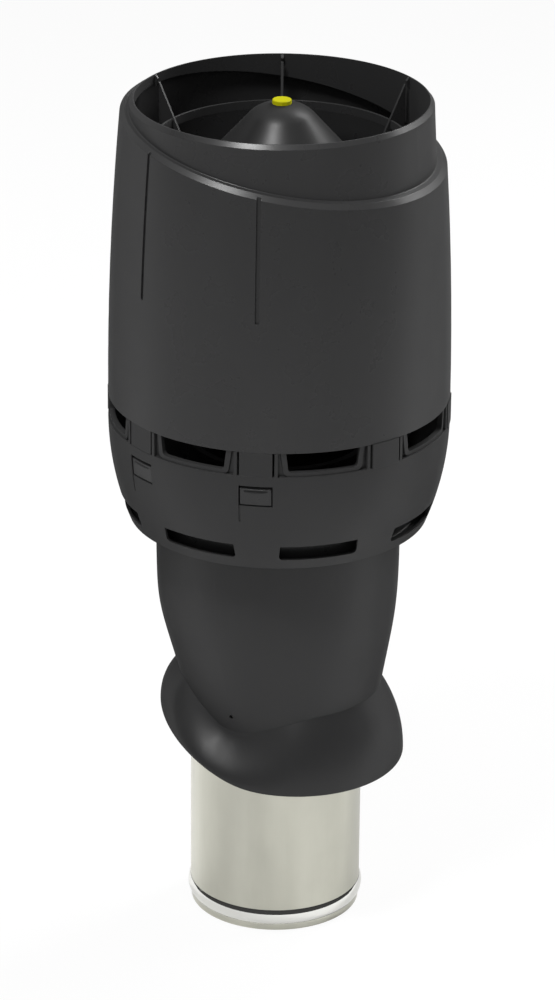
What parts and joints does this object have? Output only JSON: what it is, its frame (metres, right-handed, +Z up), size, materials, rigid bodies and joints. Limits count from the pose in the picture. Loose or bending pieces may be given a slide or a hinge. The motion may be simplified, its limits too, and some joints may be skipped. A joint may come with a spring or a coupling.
{
  "type": "roof ventilation pipe",
  "caption": "Insulated roof ventilation pipe: a steel duct in a black sleeve with a slanted roof skirt, under a tall round exhaust cowl open at the top over a cone.",
  "frame": {"origin": "centre of the steel duct's lower end", "axes": "+Z up along the duct; -Y is the front, where the sleeve comes down to a corner beside its fixing hole; the roof falls toward +X"},
  "size_m": [0.3108, 0.3108, 0.7906],
  "materials": {
    "black_plastic": "satin",
    "yellow_plastic": "satin",
    "duct_steel": "satin",
    "screw_steel": "satin",
    "insulation_foam": "matte"
  },
  "bodies": {
    "root": {"steel_duct": "duct_steel", "outer_sleeve": "black_plastic", "insulation": "insulation_foam", "duct_spacer": "black_plastic", "duct_adapter": "black_plastic", "duct_screws": "screw_steel", "sleeve_screws": "screw_steel", "cowl_bowl": "black_plastic", "cowl_hood": "black_plastic", "vane_frame": "black_plastic", "frame_screws": "screw_steel", "deflector_cone": "black_plastic", "cone_bolt": "screw_steel", "cone_washer": "screw_steel", "cone_nut": "screw_steel", "cone_cap": "yellow_plastic"}
  },
  "joints": []
}
